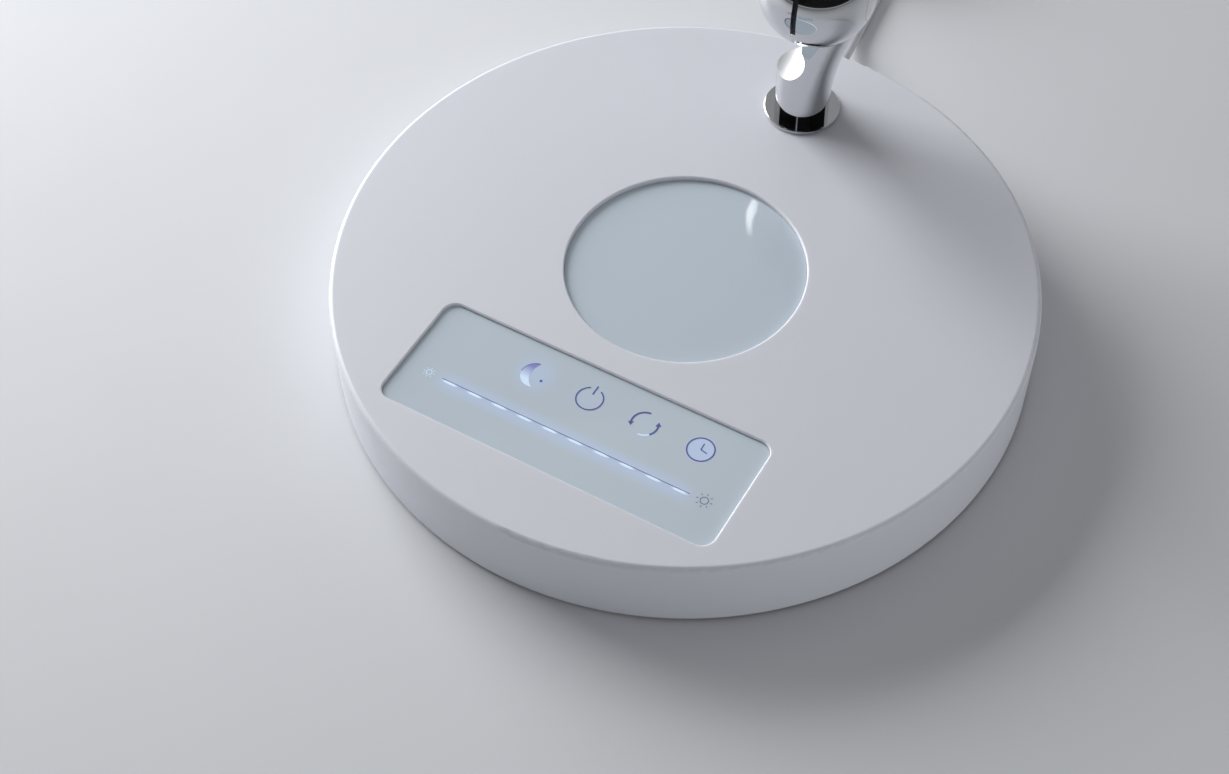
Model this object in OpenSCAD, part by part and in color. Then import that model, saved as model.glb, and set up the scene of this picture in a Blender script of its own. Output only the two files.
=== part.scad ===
// LED desk lamp: a round weighted base with a touch panel and a charging pad,
// and a jointed swing arm with ball knuckles that carries a slim bar of light.
// Millimetres. The origin is the middle of the base's underside, +Z is up,
// the touch panel is towards -Y and the stem stands at +Y.

/* [Base] */
// Diameter of the base
base_d = 200; // [180:1:240]
// Height of the base from the desk to its top
base_h = 24.4; // [24:0.1:32]
// Wall of the cover's side
cover_wall = 2.6; // [2:0.1:3.4]
// Wall of the cover's top
top_wall = 3; // [2.4:0.1:3]
// Rounding of the top edge
rim_round = 1.4; // [0.8:0.1:2.4]
// Gap between the cover's rim and the desk
rim_gap = 0.8; // [0.4:0.1:1]
// Thickness of the rubber foot pad
foot_t = 1.2; // [1:0.1:1.6]
// Distance of the foot pad's edge from the rim
foot_in = 6; // [5.5:0.5:12]
// Thickness of the steel base plate
plate_t = 1.5; // [1.2:0.1:2]
// Thickness of the iron ballast
ballast_t = 8; // [6:0.5:8]
// Distance of the ballast's edge from the rim
ballast_in = 16; // [15:0.5:20]

/* [Touch panel] */
// Length of the panel
panel_w = 101.7; // [90:0.1:108]
// Width of the panel
panel_h = 36.9; // [32:0.1:40]
// Corner radius of the panel
panel_r = 4; // [3:0.1:8]
// Distance of the panel's front edge from the rim
panel_in = 21; // [20:0.1:24]
// Depth of the panel's glass under the top
panel_recess = 1; // [0.4:0.1:1.4]
// Thickness of both glasses
glass_t = 2; // [1.5:0.1:2.2]
// Length of the lit slider
slider_len = 76; // [60:1:80]
// Distance of the slider in front of the panel's middle
slider_fore = 5.5; // [4:0.5:7.5]
// Distance of the touch symbols behind the panel's middle
icon_back = 8.5; // [5:0.5:10]
// Spacing of the touch symbols
icon_pitch = 17.3; // [14:0.1:18]

/* [Charging pad] */
// Diameter of the round glass
pad_d = 68.6; // [60:0.1:72]
// Depth of the round glass under the top
pad_recess = 1.5; // [0.6:0.1:1.6]
// Distance of the round glass behind the panel
pad_gap = 8.8; // [7:0.1:12]
// Chamfer round both pockets
pocket_edge = 0.35; // [0.2:0.05:0.5]
// Diameter of the charging coil
coil_d = 48; // [40:1:52]

/* [Stem and swivel] */
// Distance of the stem's middle from the rim
stem_in = 27; // [25:0.5:29]
// Diameter of the stem and of the lower arm
stem_d = 16.4; // [15:0.1:18]
// Diameter of the chrome ring round the stem
flange_d = 22.8; // [21.6:0.1:25]
// Thickness of the chrome ring
flange_t = 1.2; // [0.8:0.1:2]
// Diameter of the post's spigot in the bush
spigot_d = 12; // [10:0.5:13]
// Turn of the arm about the stem
arm_yaw = 9; // [-30:1:30]

/* [Knuckles] */
// Diameter of the ball over the stem
base_ball_d = 34; // [33:0.5:36]
// Distance of that ball's middle from the middle of its slot
base_ball_shift = 1.8; // [1:0.1:2]
// Height of that ball's middle over the desk
ball_z = 72.4; // [72:0.2:90]
// Diameter of the elbow's ball
elbow_ball_d = 31; // [30:0.5:34]
// Diameter of the ball at the head
head_ball_d = 24; // [23:0.5:26]
// Width of the slot between the two halves of a ball
slot_w = 1.6; // [1.2:0.1:2]
// Angle over which the neck flares out to the ball
flare = 26; // [25.5:0.5:28]
// Bolt diameter of the knuckle over the stem
base_bolt_d = 6; // [5:0.5:6]
// Bolt diameter of the elbow
elbow_bolt_d = 5; // [4:0.5:5.5]
// Bolt diameter of the head knuckle
head_bolt_d = 4; // [3:0.5:4]

/* [Arms] */
// Length of the lower arm between its balls' middles
lower_len = 320; // [240:5:400]
// Length of the upper arm between its balls' middles
upper_len = 270; // [200:5:340]
// Diameter of the upper arm
upper_d = 14; // [13:0.1:15]
// Wall of the arm tubes
tube_wall = 1.2; // [1:0.1:1.5]
// Lean of the lower arm from upright, forwards positive
lower_lean = -20; // [-35:1:20]
// Bend at the elbow
elbow_bend = 85; // [60:1:110]
// Bend at the head
head_bend = 25; // [0:1:60]

/* [Head] */
// Length of the light bar's profile
profile_len = 280; // [200:5:340]
// Width of the light bar
profile_w = 42; // [38:0.5:50]
// Height of the light bar
profile_h = 13.5; // [13.2:0.1:15]
// Diameter of the neck behind the light bar
neck_d = 11; // [10:0.1:12]
// Pairs of LEDs along the light bar
led_pairs = 16; // [8:1:18]

/* [Cord] */
// Diameter of the cord
cord_d = 3.4; // [3:0.1:3.6]
// Turns in the coil, in four layers
coil_turns = 11.25; // [7.25:1:15.25]
// Middle radius of the coil
coil_r = 19.5; // [18.5:0.5:22]

/* [Hidden] */
$fn = 64;
// Clearance of glued and pressed pieces, of running pins and of faces that turn on each other
fit = 0.1;
pin_fit = 0.05;
face_gap = 0.05;
// How far cuts run past the faces they open
past = 1;

base_r = base_d / 2;
stem_y = base_r - stem_in;
panel_y = base_r - panel_in - panel_h / 2;
slider_y = panel_y + slider_fore;
icon_y = panel_y - icon_back;
plate_z = foot_t;
floor_z = plate_z + plate_t;
plate_r = base_r - cover_wall - 2 * fit;
under_top = base_h - top_wall;

// Panel: a pocket with a floor that leaves a ledge under the glass
tray_wall = 2.4;
tray_floor = 2;
ledge_w = 4;
panel_ledge_z = base_h - panel_recess - glass_t;
panel_tray_z = panel_ledge_z - tray_floor;
board_t = 1.6;
board_rim = 1.5;
led_h = 0.7;
led_s = 2;
slider_leds = 11;
slider_led_pitch = (slider_len - 2 * led_s) / (slider_leds - 1);
icons = 4;
icon_x0 = -18;
guide_w = 3;
guide_lift = 0.15;

// Charging pad: the same kind of pocket, round
pad_r = pad_d / 2;
pad_y = panel_h / 2 - panel_y + pad_gap + pad_r;
pad_ledge_z = base_h - pad_recess - glass_t;
pad_tray_z = pad_ledge_z - tray_floor;
coil_hole_r = 10;
coil_t = 1.2;
ferrite_t = 0.8;
ferrite_rim = 1.5;

// Stem bush and swivel
stem_r = stem_d / 2;
hub_wall = 4;
bush_wall = 3;
spigot_r = spigot_d / 2;
bush_r = spigot_r + pin_fit + bush_wall;
hub_r = bush_r + hub_wall;
hub_z = base_h - 12.4;
shoulder_z = base_h + flange_t + face_gap;
washer_t = 1;
washer_rim = 4.5;
swivel_nut_t = 5;
swivel_nut_r = spigot_r + 4;
thread_end = 0.8;
post_wire_r = 3;

// Screws of the base plate
screws = 6;
boss_in = 10;
screw_ring_r = base_r - boss_in;
screw_turn = -20;
screw_r = 1.5;
screw_head_r = 2.9;
screw_in = 9;
boss_r = 3.6;

// Main board, on pillars of the ballast
main_board_w = 38;
main_board_d = 32;
main_board_x = 58 - base_r;
main_board_y = base_r - 70;
pillar_r = 2.4;
pillar_in = 4;
pillar_h = 2.2;
ballast_z = floor_z + ballast_t;
main_board_z = ballast_z + pillar_h;

// Cord gland in the rear wall
gland_x = -4.4;
gland_z = 8.2;
gland_hole_r = 4;
gland_flange_r = 5.2;
gland_flange_t = 2;
gland_in = 5.4;
boot_len = 9.8;
boot_gap = 0.2;
boot_r = 4.2;
boot_tip_r = 2.3;
cord_r = cord_d / 2;

// Knuckles
base_ball_r = base_ball_d / 2;
elbow_ball_r = elbow_ball_d / 2;
head_ball_r = head_ball_d / 2;
upper_r = upper_d / 2;
neck_r = neck_d / 2;
flare_sink = 0.15;
web_inset = 0.01;
notch_extra = 0.3;
notch_share = 0.25;
notch_below = 5.9;
washer_inset = 2.5;
base_seat = 9;
elbow_seat = 8;
head_seat = 6;
bolt_head_rim = 2;
cap_rim = 3;
bolt_head_t = 3.2;
cap_air = 0.4;
stem_margin = 4;
spigot_len = 20;

// Wires in the arms
wire_r = 2;
wire_fit = 0.2;
wire_seat = 10;

// Light bar, seen along its length: x across and y up from the neck's axis
profile_below = 7.5;
profile_round = 4;
profile_wall = 1.6;
lip_w = 3;
lip_t = 0.8;
diffuser_t = 2;
groove_w = 1.9;
cavity_bottom = -profile_below + lip_t + diffuser_t + 2 * fit;
cavity_top = profile_h - profile_below - profile_wall;
cavity_w = profile_w - 2 * profile_wall - 2 * lip_w;
groove_full_w = cavity_w + 2 * groove_w;
cap_len = 16;
front_cap_len = 9;
plug_len = 8;
cap_round = 7;
head_spigot_r = 3;
head_clip_r = 4;
head_clip_t = 1;
clip_groove = 0.5;
led_board_w = 20;
led_board_end = 22;
bar_led_w = 2.8;
bar_led_l = 3.5;
bar_led_h = 0.8;
led_row_x = 5;
bar_screw_r = 1.2;
bar_screw_head_r = 2.2;
bar_screw_head_t = 1.2;
bar_screw_in = 1;
bar_screws = 3;

// Cord route from the gland's boot to the coil, chosen by hand and measured from the rim
route_from_rim = [
    [gland_x, 10, gland_z], [-4.6, 12, 8.05], [-4.95, 14, 7.6], [-5.4, 16, 6.9], [-5.95, 18.5, 5.9],
    [-6.6, 21.5, 4.7], [-7.35, 25, 3.5], [-8.1, 29, 2.5], [-8.75, 33.5, 1.95], [-9.3, 38, 1.8],
    [-9.9, 43, 1.8], [-10.45, 48, 1.8], [-11, 53, 1.8], [-11.5, 59, 1.8], [-11.85, 65, 1.9],
    [-12, 71, 2.2], [-12.05, 77.5, 2.65], [-12, 83, 2.7]
];
cord_route = [for (place = route_from_rim) place + [0, base_r, 0]];
cord_sides = 8;
coil_sides = 6;
rings_per_turn = 24;
turn_gap = 0.5;
turn_pitch = cord_d + turn_gap;
layers = 4;
climb = 0.5;
layer_turns = coil_turns / layers;
coil_out_r = coil_r + layer_turns * turn_pitch / 2;
coil_in_r = coil_r - layer_turns * turn_pitch / 2;
coil_start = cord_route[len(cord_route) - 1];
coil_middle = [coil_start.x - coil_out_r, coil_start.y + cord_d];
coil_top_z = coil_start.z + (layers - 1) * turn_pitch;
tail_len = 14;
tail_start = [coil_middle.x - cord_d, coil_middle.y + coil_out_r, coil_top_z];
tie_t = 0.6;
tie_clear = 0.3;
tie_w = 8;
tie_turn = 215;

// Wall adaptor on the far end of the cord
adaptor_len = 56;
adaptor_w = 40;
adaptor_r = 6;
adaptor_foot = 0.1;
adaptor_boot = 12;
adaptor_boot_r = 3.6;
adaptor_h = 2 * (coil_top_z - adaptor_foot);
pin_r = 2;
pin_len = 19;
pin_pitch = 19;
pin_seat = 6;

// Places

module at_post() {
    translate([0, stem_y, 0]) rotate([0, 0, arm_yaw]) children();
}

module at_lower() {
    at_post() translate([0, 0, ball_z]) rotate([lower_lean, 0, 0]) children();
}

module at_elbow() {
    at_lower() translate([0, 0, lower_len]) rotate([elbow_bend, 0, 0]) children();
}

module at_upper_end() {
    at_elbow() translate([0, 0, upper_len]) children();
}

module at_head() {
    at_upper_end() rotate([head_bend, 0, 0]) children();
}

// The half of a ball on the other side of its slot, with its stem the other way
module other_half() {
    rotate([0, 180, 0]) children();
}

module at_screws() {
    for (i = [0:screws - 1])
        rotate([0, 0, screw_turn + 360 * i / screws]) translate([screw_ring_r, 0, 0]) children();
}

// Outlines

module round_rect(w, h, r) {
    square([w - 2 * r, h], center = true);
    square([w, h - 2 * r], center = true);
    for (x = [-1, 1], y = [-1, 1]) translate([x * (w / 2 - r), y * (h / 2 - r)]) circle(r);
}

module rounded_top(r, bottom, top, round) {
    translate([0, bottom]) square([r, top - bottom - round]);
    translate([0, bottom]) square([r - round, top - bottom]);
    translate([r - round, top - round]) circle(round);
}

module panel_outline(grow) {
    translate([0, -panel_y]) round_rect(panel_w + 2 * grow, panel_h + 2 * grow, panel_r + grow);
}

// A wedge that widens upwards from a width by the chamfer on both sides
module edge_wedge(width, run) {
    translate([0, run / 2, 0])
        rotate([90, 0, 0])
            linear_extrude(run)
                polygon([
                    [-width / 2, 0], [width / 2, 0],
                    [width / 2 + pocket_edge, pocket_edge], [-width / 2 - pocket_edge, pocket_edge]
                ]);
}

module panel_chamfer() {
    translate([0, -panel_y, base_h - pocket_edge]) {
        edge_wedge(panel_w, panel_h - 2 * panel_r);
        rotate([0, 0, 90]) edge_wedge(panel_h, panel_w - 2 * panel_r);
        for (x = [-1, 1], y = [-1, 1])
            translate([x * (panel_w / 2 - panel_r), y * (panel_h / 2 - panel_r), 0])
                cylinder(r1 = panel_r, r2 = panel_r + pocket_edge, h = pocket_edge);
    }
}

// Base

module cover_shell() {
    rotate_extrude() difference() {
        rounded_top(base_r, rim_gap, base_h, rim_round);
        square([base_r - cover_wall, under_top]);
    }
}

module base_cover() {
    color("white") difference() {
        union() {
            cover_shell();
            translate([0, 0, panel_tray_z])
                linear_extrude(base_h - top_wall / 2 - panel_tray_z) panel_outline(tray_wall);
            translate([0, pad_y, pad_tray_z])
                cylinder(r = pad_r + tray_wall, h = base_h - top_wall / 2 - pad_tray_z);
            translate([0, stem_y, hub_z]) cylinder(r = hub_r, h = base_h - top_wall / 2 - hub_z);
            at_screws()
                translate([0, 0, floor_z])
                    cylinder(r = boss_r, h = base_h - top_wall / 2 - floor_z);
        }
        translate([0, 0, panel_ledge_z]) linear_extrude(base_h) panel_outline(0);
        translate([0, 0, panel_tray_z - past]) linear_extrude(base_h) panel_outline(-ledge_w);
        panel_chamfer();
        translate([0, pad_y, 0]) {
            translate([0, 0, pad_ledge_z]) cylinder(r = pad_r, h = base_h);
            translate([0, 0, pad_tray_z - past]) cylinder(r = pad_r - ledge_w, h = base_h);
            translate([0, 0, base_h - pocket_edge])
                cylinder(r1 = pad_r, r2 = pad_r + pocket_edge, h = pocket_edge);
        }
        translate([0, stem_y, hub_z - past]) cylinder(r = bush_r + pin_fit, h = base_h);
        at_screws()
            translate([0, 0, floor_z - past]) cylinder(r = screw_r + pin_fit, h = screw_in + 2 * past);
        translate([gland_x, base_r - 2 * cover_wall, gland_z])
            rotate([-90, 0, 0]) cylinder(r = gland_hole_r, h = 4 * cover_wall);
    }
}

module base_plate() {
    color("slategray") difference() {
        translate([0, 0, plate_z]) cylinder(r = plate_r, h = plate_t);
        at_screws() {
            translate([0, 0, plate_z - past]) cylinder(r = screw_r + fit, h = plate_t + 2 * past);
            translate([0, 0, plate_z])
                cylinder(r1 = screw_head_r + fit, r2 = screw_r + fit, h = plate_t);
        }
    }
}

module foot_pad() {
    color("dimgray") cylinder(r = base_r - foot_in, h = foot_t);
}

module ballast() {
    slot = 2 * (hub_r + 2);
    color("gray") {
        difference() {
            translate([0, 0, floor_z]) cylinder(r = base_r - ballast_in, h = ballast_t);
            translate([0, stem_y, floor_z - past]) cylinder(d = slot, h = ballast_t + 2 * past);
            translate([-slot / 2, stem_y, floor_z - past]) cube([slot, base_r, ballast_t + 2 * past]);
        }
        for (x = [-1, 1], y = [-1, 1])
            translate([
                main_board_x + x * (main_board_w / 2 - pillar_in),
                main_board_y + y * (main_board_d / 2 - pillar_in),
                ballast_z - past
            ])
                cylinder(r = pillar_r, h = pillar_h + past);
    }
}

module base_screws() {
    color("silver") at_screws() {
        translate([0, 0, plate_z + face_gap])
            cylinder(r1 = screw_head_r, r2 = screw_r, h = plate_t - face_gap);
        translate([0, 0, plate_z + plate_t / 2]) cylinder(r = screw_r, h = screw_in + plate_t / 2);
    }
}

module control_glass() {
    color([0.67, 0.72, 0.76]) translate([0, 0, panel_ledge_z]) linear_extrude(glass_t) panel_outline(-fit);
}

module slider_guide() {
    guide_z = panel_tray_z + led_h + guide_lift;
    color("aliceblue")
        translate([0, -slider_y, guide_z])
            linear_extrude(panel_ledge_z - guide_z) round_rect(slider_len, guide_w, guide_w / 2 - fit);
}

module touch_board() {
    color("darkgreen")
        translate([0, 0, panel_tray_z - board_t])
            linear_extrude(board_t) panel_outline(board_rim);
}

module touch_led(x, y) {
    translate([x - led_s / 2, -y - led_s / 2, panel_tray_z]) cube([led_s, led_s, led_h]);
}

module touch_leds() {
    color("ivory") {
        for (i = [0:slider_leds - 1])
            touch_led((i - (slider_leds - 1) / 2) * slider_led_pitch, slider_y);
        for (i = [0:icons - 1]) touch_led(icon_x0 + i * icon_pitch, icon_y);
    }
}

module pad_glass() {
    color([0.67, 0.72, 0.76]) translate([0, pad_y, pad_ledge_z]) cylinder(r = pad_r - fit, h = glass_t);
}

module charging_coil() {
    color("peru") translate([0, pad_y, pad_ledge_z - coil_t]) difference() {
        cylinder(d = coil_d, h = coil_t);
        translate([0, 0, -past]) cylinder(r = coil_hole_r, h = coil_t + 2 * past);
    }
}

module coil_ferrite() {
    color("darkslategray")
        translate([0, pad_y, pad_ledge_z - coil_t - ferrite_t])
            cylinder(r = coil_d / 2 + ferrite_rim, h = ferrite_t);
}

module main_board() {
    color("darkgreen")
        translate([main_board_x, main_board_y, main_board_z])
            linear_extrude(board_t) square([main_board_w, main_board_d], center = true);
}

module main_board_parts() {
    choke = [11, 11, 3];
    chip = [7, 7, 1.2];
    plug = [9, 6, 3.2];
    can_r = 3.2;
    can_h = 3.4;
    translate([main_board_x, main_board_y, main_board_z + board_t]) {
        color("black") translate([-choke.x - 2, 2, 0]) cube(choke);
        color("black") translate([3, -chip.y - 2, 0]) cube(chip);
        color("ivory") translate([-plug.x - 4, -plug.y - 5, 0]) cube(plug);
        color("silver") translate([9, 7, 0]) cylinder(r = can_r, h = can_h);
    }
}

module cord_gland() {
    boot_y = base_r + boot_gap;
    color("whitesmoke")
        translate([gland_x, 0, gland_z])
            rotate([-90, 0, 0]) {
                translate([0, 0, base_r - gland_in]) cylinder(r = gland_flange_r, h = gland_flange_t);
                translate([0, 0, base_r - gland_in])
                    cylinder(r = gland_hole_r - pin_fit, h = gland_in + boot_gap + boot_len / 2);
                translate([0, 0, boot_y]) cylinder(r1 = boot_r, r2 = boot_tip_r, h = boot_len);
            }
}

// Stem and swivel

module stem_flange() {
    edge = 0.35;
    color("silver") translate([0, stem_y, 0]) difference() {
        rotate_extrude() rounded_top(flange_d / 2, base_h, base_h + flange_t, edge);
        translate([0, 0, base_h - past]) cylinder(r = spigot_r + fit, h = flange_t + 2 * past);
    }
}

module swivel_bush() {
    color("darkgoldenrod") translate([0, stem_y, hub_z]) difference() {
        cylinder(r = bush_r, h = base_h - hub_z);
        translate([0, 0, -past]) cylinder(r = spigot_r + pin_fit, h = base_h);
    }
}

module post() {
    spigot_low = hub_z - fit - washer_t - swivel_nut_t - thread_end;
    color("silver") at_post() difference() {
        union() {
            translate([0, 0, ball_z])
                knuckle_half(
                    base_ball_r, stem_r, ball_z - shoulder_z, base_bolt_d / 2, base_seat, base_ball_shift
                );
            translate([0, 0, spigot_low]) cylinder(r = spigot_r, h = shoulder_z - spigot_low + past);
        }
        translate([0, 0, spigot_low - past]) cylinder(r = post_wire_r, h = shoulder_z - spigot_low);
    }
}

module swivel_washer() {
    color("gray") translate([0, stem_y, hub_z - fit - washer_t]) difference() {
        cylinder(r = spigot_r + washer_rim, h = washer_t);
        translate([0, 0, -past]) cylinder(r = spigot_r + pin_fit, h = washer_t + 2 * past);
    }
}

module swivel_nut() {
    color("silver") translate([0, stem_y, hub_z - fit - washer_t - swivel_nut_t]) difference() {
        cylinder(r = swivel_nut_r, h = swivel_nut_t, $fn = 6);
        translate([0, 0, -past]) cylinder(r = spigot_r + pin_fit, h = swivel_nut_t + 2 * past);
    }
}

// Ball knuckles

function flare_rho(ball_r, r, shift) = ((ball_r - flare_sink) * cos(flare) - r + shift) / (1 - cos(flare));
function flare_len(ball_r, r, shift) = (ball_r - flare_sink + flare_rho(ball_r, r, shift)) * sin(flare);
function cap_r(bolt_r) = bolt_r + cap_rim;
function cap_seat(seat) = seat + bolt_head_t + cap_air;

// The neck bends out of the stem on the half's side, with a web that fills the bend
module flared_neck(ball_r, r, shift) {
    rho = flare_rho(ball_r, r, shift);
    low = -flare_len(ball_r, r, shift);
    reach = (rho + r) * (1 - cos(flare));
    web = r - web_inset;
    translate([r + rho, 0, low])
        rotate([90, 0, 180])
            rotate_extrude(angle = flare) translate([rho + r, 0]) circle(r);
    translate([0, web, 0])
        rotate([90, 0, 0])
            linear_extrude(2 * web) difference() {
                translate([0, low]) square([reach, -low]);
                translate([r + rho, low]) circle(rho + r, $fn = 360);
            }
}

module along_x() {
    rotate([0, 90, 0]) children();
}

// Half of a ball on +X with its stem downwards, and the notch that clears the other half; the shift is
// that of the ball's middle from the slot
module knuckle_half(ball_r, r, stem_len, bolt_r, seat, shift = 0) {
    notch_r = r + notch_extra;
    notch_z = -ball_r - notch_below;
    difference() {
        union() {
            translate([0, 0, -stem_len]) cylinder(r = r, h = stem_len);
            flared_neck(ball_r, r, shift);
            intersection() {
                translate([shift, 0, 0]) along_x() sphere(ball_r);
                translate([0, -2 * ball_r, -2 * ball_r]) cube(4 * ball_r);
            }
        }
        translate([-4 * ball_r + slot_w / 2, -2 * ball_r, notch_z]) cube(4 * ball_r);
        translate([notch_share * r - notch_r, 2 * r, notch_z])
            rotate([90, 0, 0]) cylinder(r = notch_r, h = 4 * r);
        along_x() cylinder(r = bolt_r + pin_fit, h = ball_r);
        translate([seat, 0, 0]) along_x() cylinder(r = cap_r(bolt_r), h = ball_r);
    }
}

module knuckle_bolt(bolt_r, seat) {
    color("silver") along_x() {
        translate([0, 0, seat]) cylinder(r = bolt_r + bolt_head_rim, h = bolt_head_t);
        translate([0, 0, -seat - bolt_head_t]) cylinder(r = bolt_r, h = 2 * seat + bolt_head_t);
    }
}

module knuckle_washer(ball_r, bolt_r) {
    t = slot_w - 2 * face_gap;
    color("dimgray") translate([-t / 2, 0, 0]) along_x() difference() {
        cylinder(r = ball_r - washer_inset, h = t);
        translate([0, 0, -past]) cylinder(r = bolt_r + pin_fit, h = t + 2 * past);
    }
}

module knuckle_nut(bolt_r, seat) {
    t = bolt_head_t - face_gap;
    color("silver") translate([-seat - bolt_head_t, 0, 0]) along_x() difference() {
        cylinder(r = bolt_r + bolt_head_rim, h = t, $fn = 6);
        translate([0, 0, -past]) cylinder(r = bolt_r + pin_fit, h = t + 2 * past);
    }
}

module knuckle_cap(ball_r, bolt_r, seat, shift = 0) {
    color("silver") intersection() {
        translate([shift, 0, 0]) along_x() sphere(ball_r);
        translate([cap_seat(seat), 0, 0]) along_x() cylinder(r = cap_r(bolt_r) - fit, h = ball_r);
    }
}

module base_knuckle_bolt() {
    at_lower() knuckle_bolt(base_bolt_d / 2, base_seat);
}

module base_knuckle_washer() {
    at_lower() knuckle_washer(base_ball_r, base_bolt_d / 2);
}

module base_knuckle_nut() {
    at_lower() knuckle_nut(base_bolt_d / 2, base_seat);
}

module base_knuckle_right_cap() {
    at_lower() knuckle_cap(base_ball_r, base_bolt_d / 2, base_seat, base_ball_shift);
}

module base_knuckle_left_cap() {
    at_lower() other_half() knuckle_cap(base_ball_r, base_bolt_d / 2, base_seat, -base_ball_shift);
}

module elbow_bolt() {
    at_elbow() knuckle_bolt(elbow_bolt_d / 2, elbow_seat);
}

module elbow_washer() {
    at_elbow() knuckle_washer(elbow_ball_r, elbow_bolt_d / 2);
}

module elbow_nut() {
    at_elbow() knuckle_nut(elbow_bolt_d / 2, elbow_seat);
}

module elbow_right_cap() {
    at_elbow() knuckle_cap(elbow_ball_r, elbow_bolt_d / 2, elbow_seat);
}

module elbow_left_cap() {
    at_elbow() other_half() knuckle_cap(elbow_ball_r, elbow_bolt_d / 2, elbow_seat);
}

module head_knuckle_bolt() {
    at_head() knuckle_bolt(head_bolt_d / 2, head_seat);
}

module head_knuckle_washer() {
    at_head() knuckle_washer(head_ball_r, head_bolt_d / 2);
}

module head_knuckle_nut() {
    at_head() knuckle_nut(head_bolt_d / 2, head_seat);
}

module head_knuckle_right_cap() {
    at_head() knuckle_cap(head_ball_r, head_bolt_d / 2, head_seat);
}

module head_knuckle_left_cap() {
    at_head() other_half() knuckle_cap(head_ball_r, head_bolt_d / 2, head_seat);
}

// Arms: a tube between two knuckle castings whose spigots it is pushed onto

function casting_len(ball_r, r, shift = 0) = flare_len(ball_r, r, shift) + stem_margin;

lower_foot_len = casting_len(base_ball_r, stem_r, -base_ball_shift);
lower_top_len = casting_len(elbow_ball_r, stem_r);
upper_foot_len = casting_len(elbow_ball_r, upper_r);
upper_end_len = casting_len(head_ball_r, upper_r);
neck_len = casting_len(head_ball_r, neck_r);

module arm_casting(ball_r, r, bolt_r, seat, shift = 0) {
    stem_len = casting_len(ball_r, r, shift);
    end = stem_len + spigot_len;
    color("silver") difference() {
        union() {
            knuckle_half(ball_r, r, stem_len, bolt_r, seat, shift);
            translate([0, 0, -end]) cylinder(r = r - tube_wall - pin_fit, h = spigot_len + past);
        }
        translate([0, 0, -end - past]) cylinder(r = wire_r + wire_fit, h = wire_seat + 2 * past);
    }
}

module arm_tube(r, length) {
    color("silver") difference() {
        cylinder(r = r, h = length);
        translate([0, 0, -past]) cylinder(r = r - tube_wall, h = length + 2 * past);
    }
}

module arm_wire(low, high) {
    color("black") translate([0, 0, low]) cylinder(r = wire_r, h = high - low);
}

module lower_arm_foot() {
    at_lower()
        other_half() arm_casting(base_ball_r, stem_r, base_bolt_d / 2, base_seat, -base_ball_shift);
}

module lower_arm_tube() {
    at_lower()
        translate([0, 0, lower_foot_len]) arm_tube(stem_r, lower_len - lower_foot_len - lower_top_len);
}

module lower_arm_top() {
    at_lower() translate([0, 0, lower_len]) arm_casting(elbow_ball_r, stem_r, elbow_bolt_d / 2, elbow_seat);
}

module lower_arm_wire() {
    at_lower()
        arm_wire(
            lower_foot_len + spigot_len - wire_seat, lower_len - lower_top_len - spigot_len + wire_seat
        );
}

module upper_arm_foot() {
    at_elbow() other_half() arm_casting(elbow_ball_r, upper_r, elbow_bolt_d / 2, elbow_seat);
}

module upper_arm_tube() {
    at_elbow()
        translate([0, 0, upper_foot_len]) arm_tube(upper_r, upper_len - upper_foot_len - upper_end_len);
}

module upper_arm_end() {
    at_upper_end() arm_casting(head_ball_r, upper_r, head_bolt_d / 2, head_seat);
}

module upper_arm_wire() {
    at_elbow()
        arm_wire(
            upper_foot_len + spigot_len - wire_seat, upper_len - upper_end_len - spigot_len + wire_seat
        );
}

// Head: its length runs along +Z of its own place, with +Y up

cap_z = neck_len + face_gap;
profile_z = cap_z + cap_len;
clip_z = profile_z + plug_len + fit;
head_spigot_end = clip_z + head_clip_t + thread_end;

module profile_outline() {
    translate([0, profile_h / 2 - profile_below]) round_rect(profile_w, profile_h, profile_round);
}

module cavity_outline(gap) {
    translate([-cavity_w / 2 + gap, cavity_bottom + gap])
        square([cavity_w - 2 * gap, cavity_top - cavity_bottom - 2 * gap]);
}

module head_neck() {
    color("silver") at_head() difference() {
        union() {
            other_half() knuckle_half(head_ball_r, neck_r, neck_len, head_bolt_d / 2, head_seat);
            translate([0, 0, neck_len - past])
                cylinder(r = head_spigot_r, h = head_spigot_end - neck_len + past);
        }
        translate([0, 0, clip_z]) difference() {
            cylinder(r = head_spigot_r + past, h = head_clip_t);
            translate([0, 0, -past])
                cylinder(r = head_spigot_r - clip_groove, h = head_clip_t + 2 * past);
        }
    }
}

module head_clip() {
    inner = head_spigot_r - clip_groove + pin_fit;
    color("dimgray") at_head() translate([0, 0, clip_z + face_gap]) difference() {
        cylinder(r = head_clip_r, h = head_clip_t - 2 * face_gap);
        translate([0, 0, -past]) cylinder(r = inner, h = head_clip_t + 2 * past);
        translate([-inner, 0, -past]) cube([2 * inner, 2 * head_clip_r, head_clip_t + 2 * past]);
    }
}

// A cap whose far corners are round in plan, with a plug that sits in the profile
module end_cap(length) {
    intersection() {
        linear_extrude(length) profile_outline();
        translate([0, profile_h, 0])
            rotate([90, 0, 0])
                linear_extrude(3 * profile_h)
                    translate([0, length]) round_rect(profile_w, 2 * length, cap_round);
    }
    translate([0, 0, length - past]) linear_extrude(plug_len + past) cavity_outline(fit);
}

module head_rear_cap() {
    color("white") at_head() translate([0, 0, cap_z]) difference() {
        end_cap(cap_len);
        translate([0, 0, -past])
            cylinder(r = head_spigot_r + pin_fit, h = cap_len + plug_len + 2 * past);
    }
}

module head_front_cap() {
    color("white")
        at_head() translate([0, 0, profile_z + profile_len + front_cap_len])
            mirror([0, 0, 1]) end_cap(front_cap_len);
}

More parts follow.
